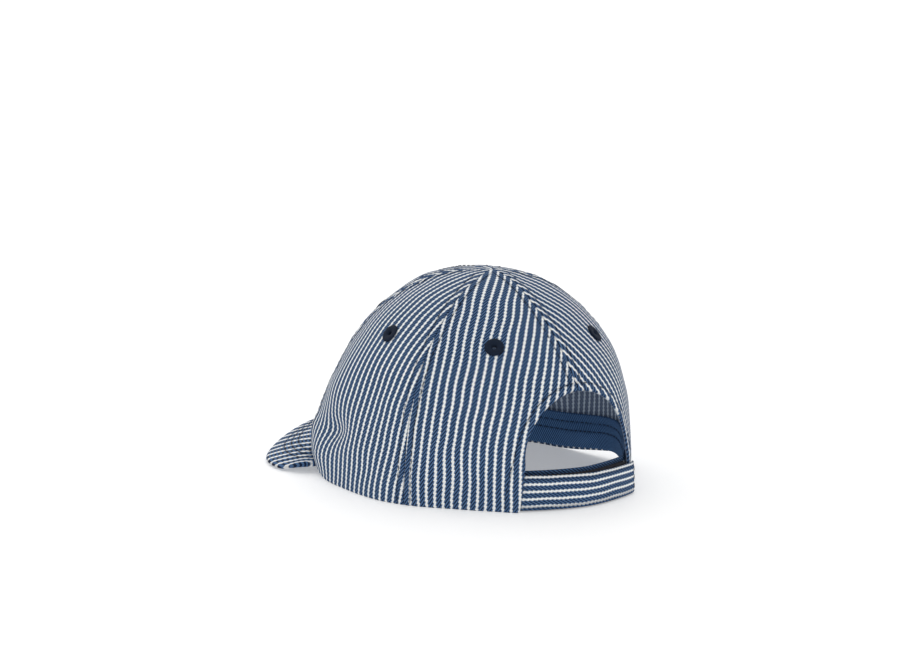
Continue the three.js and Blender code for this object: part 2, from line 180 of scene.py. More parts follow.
class CapCloth(bpy.types.PropertyGroup):
    """Sizes and colours of the cloth."""

    stripe_pitch: bpy.props.FloatProperty(
        name="Stripe Pitch", description="From one white stripe to the next",
        default=4.05 * MM, min=1 * MM, max=20 * MM, unit="LENGTH", precision=5)
    stripe_width: bpy.props.FloatProperty(
        name="Stripe Width", description="Width of a white stripe",
        default=1.2 * MM, min=0.2 * MM, max=10 * MM, unit="LENGTH", precision=5)
    stripe_phase: bpy.props.FloatProperty(
        name="Stripe Phase", description="Where a panel's middle lies between two white stripes",
        default=0.5, min=0, max=1, subtype="FACTOR")
    rib_pitch: bpy.props.FloatProperty(
        name="Rib Pitch", description="From one diagonal rib of the twill to the next",
        default=1.45 * MM, min=0.2 * MM, max=5 * MM, unit="LENGTH", precision=5)
    rib_slope: bpy.props.FloatProperty(
        name="Rib Slope", description="How steeply the ribs of the twill rise",
        default=1.427, min=0.2, max=4)
    blue_dark: bpy.props.FloatVectorProperty(
        name="Dark Blue", description="Blue yarn in the hollows of the twill",
        default=(0.004, 0.012, 0.038), min=0, max=1, subtype="COLOR")
    blue_light: bpy.props.FloatVectorProperty(
        name="Light Blue", description="Blue yarn on the ribs of the twill",
        default=(0.078, 0.156, 0.305), min=0, max=1, subtype="COLOR")
    white: bpy.props.FloatVectorProperty(
        name="White", description="White yarn of the stripes",
        default=(0.93, 0.94, 0.93), min=0, max=1, subtype="COLOR")
    inside_blue: bpy.props.FloatVectorProperty(
        name="Inside Blue", description="Blue on the inner face of the cloth",
        default=(0.17, 0.22, 0.32), min=0, max=1, subtype="COLOR")
    inside_white: bpy.props.FloatVectorProperty(
        name="Inside White", description="Pale stripes on the inner face of the cloth",
        default=(0.58, 0.66, 0.75), min=0, max=1, subtype="COLOR")
    plain_dark: bpy.props.FloatVectorProperty(
        name="Plain Dark", description="Hollows of the sweatband's plain twill",
        default=(0.012, 0.04, 0.1), min=0, max=1, subtype="COLOR")
    plain_light: bpy.props.FloatVectorProperty(
        name="Plain Light", description="Ribs of the sweatband's plain twill",
        default=(0.1, 0.22, 0.44), min=0, max=1, subtype="COLOR")
    tape: bpy.props.FloatVectorProperty(
        name="Tape", description="Fastening tape",
        default=(0.012, 0.012, 0.016), min=0, max=1, subtype="COLOR")


class CapStitching(bpy.types.PropertyGroup):
    """Sizes and colour of the stitching and of the eyelets' thread."""

    pitch: bpy.props.FloatProperty(
        name="Stitch Pitch", description="From one stitch to the next",
        default=3.6 * MM, min=1 * MM, max=10 * MM, unit="LENGTH", precision=5)
    length: bpy.props.FloatProperty(
        name="Stitch Length", description="How much of a stitch shows",
        default=3.0 * MM, min=0.5 * MM, max=10 * MM, unit="LENGTH", precision=5)
    thread: bpy.props.FloatProperty(
        name="Thread", description="Thickness of the thread",
        default=0.42 * MM, min=0.1 * MM, max=2 * MM, unit="LENGTH", precision=5)
    from_seam: bpy.props.FloatProperty(
        name="From Seam", description="From a seam to the stitch row beside it",
        default=3.5 * MM, min=1 * MM, max=10 * MM, unit="LENGTH", precision=5)
    hem_top: bpy.props.FloatProperty(
        name="Hem at Arch", description="From the top of the opening to its stitch row",
        default=3.9 * MM, min=1 * MM, max=15 * MM, unit="LENGTH", precision=5)
    hem_side: bpy.props.FloatProperty(
        name="Hem at Rim", description="From the side of the opening to its stitch row",
        default=7.0 * MM, min=1 * MM, max=15 * MM, unit="LENGTH", precision=5)
    colour: bpy.props.FloatVectorProperty(
        name="Thread Colour", description="Thread of the stitches and the eyelets",
        default=(0.002, 0.007, 0.019), min=0, max=1, subtype="COLOR")


class CapStage(bpy.types.PropertyGroup):
    """The camera's place and the floor."""

    azimuth: bpy.props.FloatProperty(
        name="Azimuth", description="Camera's bearing round the cap",
        default=math.radians(142.8), subtype="ANGLE")
    elevation: bpy.props.FloatProperty(
        name="Elevation", description="Camera's height over the horizon",
        default=math.radians(11.5), subtype="ANGLE")
    distance: bpy.props.FloatProperty(
        name="Distance", description="From the camera to the cap",
        default=1.695, min=0.1, unit="LENGTH")
    lens: bpy.props.FloatProperty(
        name="Lens", description="Focal length in millimetres", default=141.3, min=10)
    floor: bpy.props.FloatVectorProperty(
        name="Floor", description="Colour of the floor",
        default=(0.84, 0.84, 0.84), min=0, max=1, subtype="COLOR")
    glow: bpy.props.FloatProperty(
        name="Glow", description="Light that comes up through the floor, as from a light table",
        default=0.3, min=0)


# The crown's surface. A place on it is a gore, 0 at the back seam to 3 at the front seam and negative on the
# wearer's right, and a level, 0 at the rim to TOP_LEVEL at the top point.


def smoothstep(value, low, high):
    share = np.clip((value - low) / (high - low), 0, 1)
    return share * share * (3 - 2 * share)


def section_at(level):
    """The height and reaches at a level, on a smooth curve through SECTIONS."""
    rows = np.array(SECTIONS)
    padded = np.vstack([2 * rows[0] - rows[1], rows, rows[-2] * PAST_TOP])
    row = np.clip(np.floor(level).astype(int), 0, TOP_LEVEL - 1)
    t = (level - row)[..., None]
    a, b, c, d = (padded[row + step] for step in range(4))
    value = b + 0.5 * t * (c - a + t * (2 * a - 5 * b + 4 * c - d + t * (3 * (b - c) + d - a)))
    return dict(zip(SECTION_COLUMNS, np.moveaxis(value, -1, 0)))


def angle_at(gore, level):
    """Degrees from straight back, without a sign."""
    whole = np.clip(np.floor(gore).astype(int), 0, LAST_SEAM - 1)
    towards_top = (level / TOP_LEVEL) ** SEAM_TURN
    first = SEAM_AT_RIM[whole] + (SEAM_AT_TOP - SEAM_AT_RIM)[whole] * towards_top
    second = SEAM_AT_RIM[whole + 1] + (SEAM_AT_TOP - SEAM_AT_RIM)[whole + 1] * towards_top
    return first + (second - first) * (gore - whole)


def outer_point(gore, level):
    gore, level = np.broadcast_arrays(np.asarray(gore, float), np.asarray(level, float))
    turned = np.where(np.abs(gore) > LAST_SEAM, gore - 2 * LAST_SEAM * np.sign(gore), gore)
    section = section_at(level)
    angle = angle_at(np.abs(turned), level)
    sine = np.sin(np.radians(angle))
    cosine = np.cos(np.radians(angle))
    widest = WIDEST_AHEAD * section["side"]
    back = cosine > 0
    back_reach = BACK_REACH * section["back"] + widest
    lengthwise = np.where(back, back_reach, FRONT_REACH * section["front"] - widest)
    squareness = np.where(back, BACK_SQUARENESS, FRONT_SQUARENESS)
    side_share = (np.abs(sine) / (HALF_WIDTH * section["side"])) ** squareness
    length_share = (np.abs(cosine) / lengthwise) ** squareness
    ring = (side_share + length_share) ** (-1 / squareness)
    off_axis = np.clip((angle - BACK_DRAWN_ANGLE) / BACK_DRAWN_ANGLE, -1, 1)
    reach = ring - BACK_DRAWN_IN * section["drawn"] * np.cos(off_axis * math.pi / 2) ** 2
    flat_angle = np.where(turned < 0, RIGHT_RIM_FLAT_ANGLE, RIM_FLAT_ANGLE)
    rim = RIM_LIFT * smoothstep(angle, flat_angle, RIM_HIGH_ANGLE)
    low, highest, high = RIGHT_RIM_ANGLES
    lifted = smoothstep(angle, low, highest) * (1 - smoothstep(angle, highest, high)) * (turned < 0)
    rim = rim + RIGHT_RIM_LIFT * lifted
    x = np.sign(turned) * reach * sine
    y = reach * cosine - widest + AXIS_Y
    z = rim + (CROWN_HEIGHT - rim) * section["height"]
    return np.stack([x, y, z], axis=-1)


def unit(vectors):
    return vectors / np.maximum(np.linalg.norm(vectors, axis=-1, keepdims=True), 1e-12)


def run_along(points):
    """The distance along a line of points, for each of them."""
    return np.concatenate([[0], np.cumsum(np.linalg.norm(np.diff(points, axis=0), axis=1))])


STEP = 1e-3
CROWN_TOP = TOP_LEVEL - 0.02


def directions(gore, level):
    """Unit vectors along the surface to the viewer's right, up along it, and out of it."""
    gore, level = np.broadcast_arrays(np.asarray(gore, float), np.asarray(level, float))
    inner = np.clip(level, STEP, CROWN_TOP)
    right = unit(outer_point(gore - STEP, inner) - outer_point(gore + STEP, inner))
    up = unit(outer_point(gore, inner + STEP) - outer_point(gore, inner - STEP))
    out = unit(np.cross(right, up))
    flat = (level <= STEP)[..., None] * np.array([0, 0, 1.0])
    return right, up, unit(out * (1 - flat))


def gore_width(gore, level):
    across = outer_point(gore + STEP, level) - outer_point(gore - STEP, level)
    return np.linalg.norm(across, axis=-1) / (2 * STEP)


LEVEL_TABLE = np.linspace(0, TOP_LEVEL - 1e-4, 701)
HEIGHT_TABLE = section_at(LEVEL_TABLE)["height"] * CROWN_HEIGHT


def level_at(height):
    return np.interp(height, HEIGHT_TABLE, LEVEL_TABLE)


def rise_table(gore):
    """Distance along the cloth from the rim, for each entry of LEVEL_TABLE."""
    points = outer_point(np.full_like(LEVEL_TABLE, gore), LEVEL_TABLE)
    return run_along(points)


def gore_at(x, level):
    """The gore where the crown's back reaches a distance from the middle."""
    low = np.zeros_like(x)
    high = np.full_like(x, 1.3)
    for _ in range(30):
        middle = (low + high) / 2
        inside = outer_point(middle, level)[..., 0] < x
        low = np.where(inside, middle, low)
        high = np.where(inside, high, middle)
    return (low + high) / 2


def opening_line(count):
    """Gores and levels from the rim up the opening's side and along its arch to the middle."""
    arch_turn = np.linspace(0, math.pi / 2, 200)
    x = np.concatenate([[OPENING_HALF_WIDTH + OPENING_FLARE], OPENING_HALF_WIDTH * np.cos(arch_turn)])
    z = np.concatenate([[0], OPENING_SIDE + (OPENING_HEIGHT - OPENING_SIDE) * np.sin(arch_turn)])
    run = np.concatenate([[0], np.cumsum(np.hypot(np.diff(x), np.diff(z)))])
    even = np.linspace(0, run[-1], count)
    level = level_at(np.interp(even, run, z))
    return gore_at(np.interp(even, run, x), level), level


OPENING_GORE, OPENING_LEVEL = opening_line(160)
OPENING_POINTS = outer_point(OPENING_GORE, OPENING_LEVEL)


def nearest(points, line):
    """Each point's distance to a line of points."""
    flat = points.reshape(-1, 3)
    found = np.empty(len(flat))
    for start in range(0, len(flat), 2000):
        part = flat[start:start + 2000]
        found[start:start + 2000] = np.linalg.norm(part[:, None] - line[None], axis=2).min(axis=1)
    return found.reshape(points.shape[:-1])


def opening_distance(gore, points):
    """Distance to the opening's edge, and a large one on panels that it doesn't reach."""
    distance = np.full(points.shape[:-1], 1.0)
    near = np.abs(gore) <= 1.3
    mirrored = points[near]
    mirrored[:, 0] = np.abs(mirrored[:, 0])
    distance[near] = nearest(mirrored, OPENING_POINTS)
    return distance


def seam_distance(gore, level):
    return np.abs(gore - np.round(gore)) * gore_width(gore, level)


HEM_NARROW_ABOVE = 34 * MM
HEM_WIDE_BELOW = 14 * MM


def hem_width(height):
    stitching = bpy.context.scene.cap_stitching
    widening = smoothstep(-height, -HEM_NARROW_ABOVE, -HEM_WIDE_BELOW)
    return stitching.hem_top + (stitching.hem_side - stitching.hem_top) * widening


# Each wave of the puckers: its length over a full turn's radians, how a seed shifts it, and its share.
WAVES = ((1.9 * MM, 2.1, 0.45), (3.1 * MM, 4.3, 0.35), (5.3 * MM, 1.7, 0.3))


def waves(run, seed):
    """A gentle unevenness along a length, between about -1 and 1, with no random draw."""
    return sum(np.sin(run / length + shift * seed) * share for length, shift, share in WAVES)


RISE_AT_SEAM = rise_table(1.0)
RIDGE = 0.24 * MM
HEM_RIDGE_SHARE = 1.2
PUCKER = 0.28 * MM
PUCKER_FADE = 5 * MM
HEM_PUCKER_FADE = 4 * MM
SLACK = 0.35 * MM
SLACK_PER_GORE = 40 * MM

# The ridge between a seam or an edge and its stitch row: where it begins, is full, and falls before the row.
SEAM_RIDGE = (0.2 * MM, 1.2 * MM, 0.9 * MM)
HEM_RIDGE = (0, 0.8 * MM, 0.8 * MM)
RIDGE_PAST_ROW = 0.6 * MM


def ridge_beside(distance, row, form):
    """1 on the strip between an edge and its stitch row, and 0 away from it."""
    start, full, before_row = form
    falling = smoothstep(distance, row - before_row, row + RIDGE_PAST_ROW)
    return smoothstep(distance, start, full) * (1 - falling)


def fading_past(distance, row, reach):
    """0 at an edge to 1 at its stitch row, and less and less past it."""
    return np.exp(-np.maximum(distance - row, 0) / reach) * smoothstep(distance, 0, row)


def relief(gore, level, points):
    """How far the cloth stands out from its smooth form."""
    stitching = bpy.context.scene.cap_stitching
    from_seam = seam_distance(gore, level)
    run = np.interp(level, LEVEL_TABLE, RISE_AT_SEAM)
    seam = np.round(gore)
    row = stitching.from_seam
    ridge = ridge_beside(from_seam, row, SEAM_RIDGE)
    puckers = waves(run, seam + 0.4 * np.sign(gore - seam)) * fading_past(from_seam, row, PUCKER_FADE)
    from_opening = opening_distance(gore, points)
    hem = hem_width(points[..., 2])
    hem_ridge = ridge_beside(from_opening, hem, HEM_RIDGE)
    hem_fading = fading_past(from_opening, hem, HEM_PUCKER_FADE)
    hem_puckers = waves(points[..., 2] + points[..., 0], 7.0) * hem_fading
    across = gore * SLACK_PER_GORE
    slack = np.sin(across / (7 * MM) + run / (11 * MM)) * np.sin(run / (13 * MM) - across / (17 * MM) + 1.3)
    depth = RIDGE * (ridge + HEM_RIDGE_SHARE * hem_ridge) + PUCKER * (puckers + hem_puckers) + SLACK * slack
    for row_values in FOLDS:
        fold = dict(zip(FOLD_COLUMNS, row_values))
        centre = outer_point(fold["gore"], fold["level"])
        right, up, _ = directions(fold["gore"], fold["level"])
        turn = math.radians(fold["turn"])
        first = right * math.cos(turn) + up * math.sin(turn)
        second = up * math.cos(turn) - right * math.sin(turn)
        offset = points - centre
        size = (offset @ first / fold["across"]) ** 2 + (offset @ second / fold["along"]) ** 2
        depth = depth + fold["depth"] * np.exp(-size)
    return depth * smoothstep(TOP_LEVEL - level, 0.1, 1.2)


def cloth_point(gore, level, depth=0.0):
    """A point of the crown's cloth with its folds, at a depth under its outer face."""
    gore, level = np.broadcast_arrays(np.asarray(gore, float), np.asarray(level, float))
    points = outer_point(gore, level)
    out = directions(gore, level)[2]
    return points + out * (relief(gore, level, points) - depth)[..., None]


# Meshes


def finish_object(name, sheet, materials, replaced):
    """Makes a bmesh an object that rides on the cap and stands for solids."""
    mesh = bpy.data.meshes.new(name)
    for face in sheet.faces:
        face.smooth = True
    sheet.to_mesh(mesh)
    sheet.free()
    for material in materials:
        mesh.materials.append(material)
    piece = bpy.data.objects.new(name, mesh)
    bpy.context.scene.collection.objects.link(piece)
    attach(piece, "root")
    if replaced:
        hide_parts(*replaced)
    return piece


def cloth_shell(outer, inner, cloth, rows_from, edges_from, hole=None, turned_in=0.0):
    """A closed wall between two faces of rows by columns that meet along their border.

    cloth holds the weave's place across and along at each point. rows_from and edges_from are each point's
    distance from the nearest stitch row and the nearest edge. turned_in is how far up the inner face the outer
    cloth is turned in.
    """
    rows, columns = outer.shape[:2]
    sheet = bmesh.new()
    weave = sheet.verts.layers.float_vector.new("cloth")
    row_layer = sheet.verts.layers.float.new("from_row")
    edge_layer = sheet.verts.layers.float.new("from_edge")
    inside = None
    for points in (outer, inner):
        made = bmesh.ops.create_grid(sheet, x_segments=columns - 1, y_segments=rows - 1, size=1)
        fields = (points.reshape(-1, 3), cloth.reshape(-1, 2), rows_from.ravel(), edges_from.ravel())
        for vert, place, weave_place, row_value, edge_value in zip(made["verts"], *fields):
            vert.co = place
            vert[weave] = (weave_place[0], weave_place[1], 0)
            vert[row_layer] = row_value
            vert[edge_layer] = edge_value
        inside = made["verts"]
    inner_verts = set(inside)
    inner_faces = [face for face in sheet.faces if face.verts[0] in inner_verts]
    for face in inner_faces:
        if max(vert[weave].y for vert in face.verts) > turned_in:
            face.material_index = 1
    bmesh.ops.reverse_faces(sheet, faces=inner_faces)
    bmesh.ops.remove_doubles(sheet, verts=sheet.verts, dist=1e-6)
    if hole:
        cut_hole(sheet, *hole)
    return sheet


def cut_hole(sheet, centre, axis, radius):
    """Opens both faces of a wall round an axis and joins the two rims."""
    def inside(vert):
        offset = vert.co - centre
        height = offset.dot(axis)
        return abs(height) < 4 * CLOTH and (offset - axis * height).length < radius

    doomed = [face for face in sheet.faces if any(inside(vert) for vert in face.verts)]
    bmesh.ops.delete(sheet, geom=doomed, context="FACES")
    rims = [edge for edge in sheet.edges if edge.is_boundary]
    bmesh.ops.bridge_loops(sheet, edges=rims)


def rounding(distance, radius):
    """1 away from an edge, and falling to 0 at it along a quarter circle."""
    share = np.clip(distance / radius, 0, 1)
    return np.sqrt(np.maximum(0, 1 - (1 - share) ** 2))


def close_border(body):
    """Lets a wall's two faces meet all round its border."""
    body[[0, -1], :] = 0
    body[:, [0, -1]] = 0


NEAR_ENDS = np.array((0, 0.06, 0.2, 0.4, 0.7, 1.1, 1.7)) * MM


def stations(length, spacing):
    """Places along a length: close together near both ends, and even between."""
    ends = NEAR_ENDS
    if length < 4 * ends[-1]:
        ends = ends * length / (4 * ends[-1])
    count = max(2, round((length - 2 * ends[-1]) / spacing))
    middle = np.linspace(ends[-1], length - ends[-1], count + 1)
    return np.concatenate([ends[:-1], middle, (length - ends[:-1])[::-1]])


def cloth_across(gore, level, middle):
    """Distance along the cloth from a panel's centre line, to the viewer's right."""
    steps = 10
    total = np.zeros(gore.shape)
    before = outer_point(np.full_like(gore, middle), level)
    for step in range(1, steps + 1):
        after = outer_point(middle + (gore - middle) * step / steps, level)
        total += np.linalg.norm(after - before, axis=-1)
        before = after
    return -np.sign(gore - middle) * total


ROW_SPACING = 1.25 * MM
COLUMN_COUNT = {"back": 46, "side": 68, "front": 50}
ARCH_EASE = 2.6
SEAM_ROUNDING = 0.4 * MM
EDGE_ROUNDING = 0.75 * MM
TOP_MARGIN = 1e-3
TURNED_IN = 2.4 * MM

# How a panel's stripes lean towards the back: each height from which they turn, and by how many degrees.
GRAIN_TURNS = {
    "back": ((0, 1.2), (30 * MM, 8.3)),
    "side": ((0, 15), (14 * MM, -11), (52 * MM, -7)),
    "front": ((0, 4),),
}
GRAIN_START = {"back": 4.9 * MM, "side": 7.2 * MM, "front": 0}
GRAIN_EASE = 4 * MM


def panel_border(name):
    """Gores and levels up a panel's two sides, one row each, with the place that a row starts from first."""
    first = PANELS[name]
    if name != "back":
        rise = rise_table(first + 0.5)
        level = np.interp(stations(rise[-1], ROW_SPACING), rise, LEVEL_TABLE)
        level = np.minimum(level, TOP_LEVEL - TOP_MARGIN)
        return (np.full_like(level, first), level), (np.full_like(level, first + 1), level)
    seam_level = np.linspace(OPENING_LEVEL[-1], TOP_LEVEL - TOP_MARGIN, 400)[1:]
    near_gore = np.concatenate([OPENING_GORE, np.zeros_like(seam_level)])
    near_level = np.concatenate([OPENING_LEVEL, seam_level])
    points = outer_point(near_gore, near_level)
    near_run = run_along(points)
    far_run = rise_table(1.0)
    places = stations(near_run[-1], ROW_SPACING)
    near = (np.interp(places, near_run, near_gore), np.interp(places, near_run, near_level))
    share = places / near_run[-1]
    far_level = np.minimum(np.interp(share * far_run[-1], far_run, LEVEL_TABLE), TOP_LEVEL - TOP_MARGIN)
    return near, (np.ones_like(far_level), far_level)


def panel_places(name):
    """The gore and level of each of a left panel's points, rows from the rim up."""
    (near_gore, near_level), (far_gore, far_level) = panel_border(name)
    fine = np.linspace(0, 1, 240)
    gore_rows = []
    level_rows = []
    for row in range(len(near_gore)):
        gore = near_gore[row] + (far_gore[row] - near_gore[row]) * fine
        level = near_level[row] + (far_level[row] - near_level[row]) * (1 - (1 - fine) ** ARCH_EASE)
        points = outer_point(gore, level)
        run = run_along(points)
        spacing = run[-1] / (COLUMN_COUNT[name] - 12)
        places = stations(run[-1], spacing)
        share = np.linspace(0, 1, COLUMN_COUNT[name])
        even = np.interp(share, np.linspace(0, 1, len(places)), places)
        gore_rows.append(np.interp(even, run, gore)[::-1])
        level_rows.append(np.interp(even, run, level)[::-1])
    return np.array(gore_rows), np.array(level_rows)


def panel_shell(name, side):
    """The wall of one panel, with its outer face, its inner face and its eyelet's hole."""
    stitching = bpy.context.scene.cap_stitching
    gore, level = panel_places(name)
    if side < 0:
        gore = -gore[:, ::-1]
        level = level[:, ::-1]
    middle = side * (PANELS[name] + 0.5)
    points = outer_point(gore, level)
    from_seam = seam_distance(gore, level)
    from_opening = opening_distance(gore, points)
    rise = rise_table(middle)
    along = np.interp(level, LEVEL_TABLE, rise)
    body = rounding(from_seam, SEAM_ROUNDING) * rounding(from_opening, EDGE_ROUNDING)
    body = body * rounding(along, EDGE_ROUNDING)
    close_border(body)
    from_hem_row = np.abs(from_opening - hem_width(points[..., 2]))
    from_row = np.minimum(np.abs(from_seam - stitching.from_seam), from_hem_row)
    from_edge = np.minimum(np.minimum(from_seam, from_opening), along)
    outer = cloth_point(gore, level, CLOTH / 2 * (1 - body))
    inner = cloth_point(gore, level, CLOTH / 2 * (1 + body))
    across = cloth_across(gore, level, middle) + side * GRAIN_START[name]
    for start, turn in GRAIN_TURNS[name]:
        above = GRAIN_EASE * np.logaddexp(0, (along - start) / GRAIN_EASE)
        across = across - side * above * math.tan(math.radians(turn))
    cloth = np.stack([across, along], axis=-1)
    eyelet = side * (PANELS[name] + EYELET_SHARES[name])
    centre = Vector(outer_point(eyelet, EYELET_LEVELS[name]))
    axis = Vector(directions(eyelet, EYELET_LEVELS[name])[2])
    return cloth_shell(outer, inner, cloth, from_row, from_edge, (centre, axis, CLOTH_HOLE), TURNED_IN)


def band_shell():
    """The sweatband's wall, from one end of the straps round the front to the other."""
    first = BAND_GORE
    gores = np.linspace(first, 2 * LAST_SEAM - first, 230)
    signed = np.where(gores > LAST_SEAM, gores - 2 * LAST_SEAM, gores)[::-1]
    heights = BAND_ABOVE_RIM + stations(BAND_HEIGHT, 1.0 * MM)
    gore, level = np.meshgrid(signed, level_at(heights))
    smooth = outer_point(gore, level)
    out = directions(gore, level)[2]
    run = run_along(smooth[0])
    across = np.broadcast_to(run, gore.shape)
    along = np.broadcast_to((heights - heights[0])[:, None], gore.shape)
    from_end = np.minimum(across, run[-1] - across)
    radius = BAND_WALL / 2
    body = rounding(along, radius) * rounding(BAND_HEIGHT - along, radius) * rounding(from_end, radius)
    close_border(body)
    ripple = waves(across / 2, 3.0) * BAND_RIPPLE * smoothstep(along, 0, BAND_HEIGHT)
    from_row = np.min([np.abs(along - share * BAND_HEIGHT) for share in BAND_ROWS], axis=0)
    middle = smooth - out * (CLOTH + SEAM_GAP + BAND_WALL / 2 + np.abs(ripple))[..., None]
    folds = relief(gore, level, smooth)
    middle = middle + out * np.minimum(folds, 0)[..., None]
    outer = middle + out * (BAND_WALL / 2 * body)[..., None]
    inner = middle - out * (BAND_WALL / 2 * body)[..., None]
    cloth = np.stack([across, along], axis=-1)
    from_edge = np.minimum(along, BAND_HEIGHT - along)
    return cloth_shell(outer, inner, cloth, from_row, from_edge)


def peak_surface(across, out, top):
    """A point of the peak and the peak's length there.

    across is -1 to 1 from corner to corner, out is 0 at the crown to 1 at the edge, and top is 0 or 1.
    """
    gore = np.where(across < 0, -1, 1) * (LAST_SEAM - np.abs(across) * (LAST_SEAM - PEAK_CORNER_GORE))
    smooth = outer_point(gore, np.zeros_like(gore))
    root = smooth + directions(gore, np.zeros_like(gore))[2] * SEAM_GAP
    spread = np.radians(PEAK_FLARE) * across
    lobe = np.abs(across)
    rounded = np.maximum(0, 1 - lobe ** PEAK_ROUNDNESS) ** (1 / PEAK_ROUNDNESS)
    length = PEAK_END + (PEAK_LENGTH - PEAK_END) * rounded
    rise = PEAK_FRONT_RISE * (1 - smoothstep(lobe, 0, PEAK_LOBE))
    corner = np.clip((lobe - PEAK_CORNER_LOBE) / (1 - PEAK_CORNER_LOBE), 0, 1) ** 2
    edge_height = rise + root[..., 2] * corner
    arch = PEAK_ARCH * 4 * out * (1 - out) * np.cos(across * math.pi / 2)
    x = root[..., 0] + out * length * np.sin(spread)
    y = root[..., 1] - out * length * np.cos(spread)
    thickness = PEAK_THICKNESS - PEAK_THINNED * out ** 4
    middle = root[..., 2] + (edge_height - root[..., 2]) * out + arch + PEAK_THICKNESS / 2
    z = middle + (top - 0.5) * thickness
    return np.stack([x, y, z], axis=-1), length


PEAK_ROWS_FROM_EDGE = tuple(distance * MM for distance in (9.0, 12.6, 16.0))


def peak_shell():
    """The peak's board in its cloth, with a round edge."""
    lengths = stations(PEAK_LENGTH, 1.1 * MM)
    outs = lengths / lengths[-1]
    turns = np.concatenate([[0, 0.004, 0.012], np.linspace(0.02, 0.98, 140), [0.988, 0.996, 1]])
    across, out = np.meshgrid(np.cos(turns * math.pi), outs)
    top, length = peak_surface(across, out, 1.0)
    bottom, _ = peak_surface(across, out, 0.0)
    from_edge = (1 - out) * length
    from_root = out * length
    body = rounding(from_edge, PEAK_THICKNESS / 2) * rounding(from_root, 0.5 * MM)
    body = body * rounding(1 - np.abs(across), 0.004)
    close_border(body)
    middle = (top + bottom) / 2
    half = (top - bottom) / 2 * body[..., None]
    from_row = np.min([np.abs(from_edge - row) for row in PEAK_ROWS_FROM_EDGE], axis=0)
    x = top[..., 0]
    ahead = np.clip((top[0, 0, 1] - top[..., 1]) / PEAK_FAN_LENGTH, 0, 1)
    cloth = np.stack([-x * (1 + PEAK_FAN * (1 - ahead) ** 2) / PEAK_SPREAD, -top[..., 1]], axis=-1)
    return cloth_shell(middle + half, middle - half, cloth, from_row, np.minimum(from_edge, from_root))


# The straps' line round the back of the cap


def further(gore, distance):
    """The gore that lies a distance further along the rim."""
    table = np.linspace(gore, gore + 1, 1001)
    points = outer_point(table, np.zeros_like(table))
    run = run_along(points)
    return float(np.interp(distance, run, table))


EDGE_GORE = float(gore_at(np.array(OPENING_HALF_WIDTH + OPENING_FLARE), np.array(0.0)))
STRAP_GORE = further(EDGE_GORE, STRAP_INSIDE)
BAND_GORE = further(STRAP_GORE, SEAM_GAP + STRAP_WALL)
TAPE_DEPTH = TAPE_GAP / 2 + TAPE_WALL
STRAP_DEPTH = TAPE_DEPTH + TAPE_GAP
LEFT_DEPTH = CLOTH + STRAP_CLEARANCE + STRAP_WALL + STRAP_DEPTH


def smooth_line(points, count):
    """Even points along a centripetal Catmull-Rom curve."""
    points = np.array(points)
    padded = np.vstack([2 * points[0] - points[1], points, 2 * points[-1] - points[-2]])
    curve = []
    for i in range(len(points) - 1):
        p0, p1, p2, p3 = padded[i:i + 4]
        d0, d1, d2 = (np.linalg.norm(b - a) ** 0.5 for a, b in ((p0, p1), (p1, p2), (p2, p3)))
        m1 = ((p1 - p0) / d0 - (p2 - p0) / (d0 + d1) + (p2 - p1) / d1) * d1
        m2 = ((p2 - p1) / d1 - (p3 - p1) / (d1 + d2) + (p3 - p2) / d2) * d1
        t = np.linspace(0, 1, 200, endpoint=i == len(points) - 2)[:, None]
        a = 2 * p1 - 2 * p2 + m1 + m2
        b = -3 * p1 + 3 * p2 - 2 * m1 - m2
        curve.append(p1 + m1 * t + b * t ** 2 + a * t ** 3)
    curve = np.vstack(curve)
    run = run_along(curve)
    even = np.linspace(0, run[-1], count)
    return np.stack([np.interp(even, run, curve[:, axis]) for axis in range(3)], axis=1), run[-1]


def crown_point(gore, level, depth):
    return outer_point(gore, level) - directions(gore, level)[2] * depth


def strap_line(height):
    level = float(level_at(height))
    corner = crown_point(EDGE_GORE, level, CLOTH / 2)
    points = [
        crown_point(STRAP_GORE, level, LEFT_DEPTH),
        crown_point(EDGE_GORE, level, LEFT_DEPTH),
        np.array([0, corner[1] + STRAP_BOW, height]),
        crown_point(-EDGE_GORE, level, CLOTH / 2),
        crown_point(-further(EDGE_GORE, STRAP_END), level, CLOTH / 2),
        crown_point(-STRAP_GORE, level, CLOTH / 2),
    ]
    return smooth_line(points, 1201)


STRAP_LENGTH = strap_line(STRAP_ABOVE_RIM)[1]


def strap_place(share, height, distance, bottom, width):
    """Points of a strip on edge: share runs along the line, and distance is outwards from it."""
    low, _ = strap_line(bottom)
    high, _ = strap_line(bottom + width)
    step = 1 / (len(low) - 1)

    def on(line, where):
        index = np.clip(where, 0, 1) / step
        whole = np.minimum(index.astype(int), len(line) - 2)
        part = (index - whole)[..., None]
        return line[whole] * (1 - part) + line[whole + 1] * part

    lift = np.clip((height - bottom) / width, 0, 1)[..., None]
    points = on(low, share) * (1 - lift) + on(high, share) * lift
    ahead = on(low, share + step) - on(low, share - step)
    away = unit(np.stack([ahead[..., 1], -ahead[..., 0], np.zeros(share.shape)], axis=-1))
    placed = points + away * distance[..., None]
    placed[..., 2] = height
    return placed


ROW_FROM_SIDE = 1.6 * MM
ROW_FROM_END = 2.2 * MM
STRAP_ROW_MARGIN = 1.2 * MM


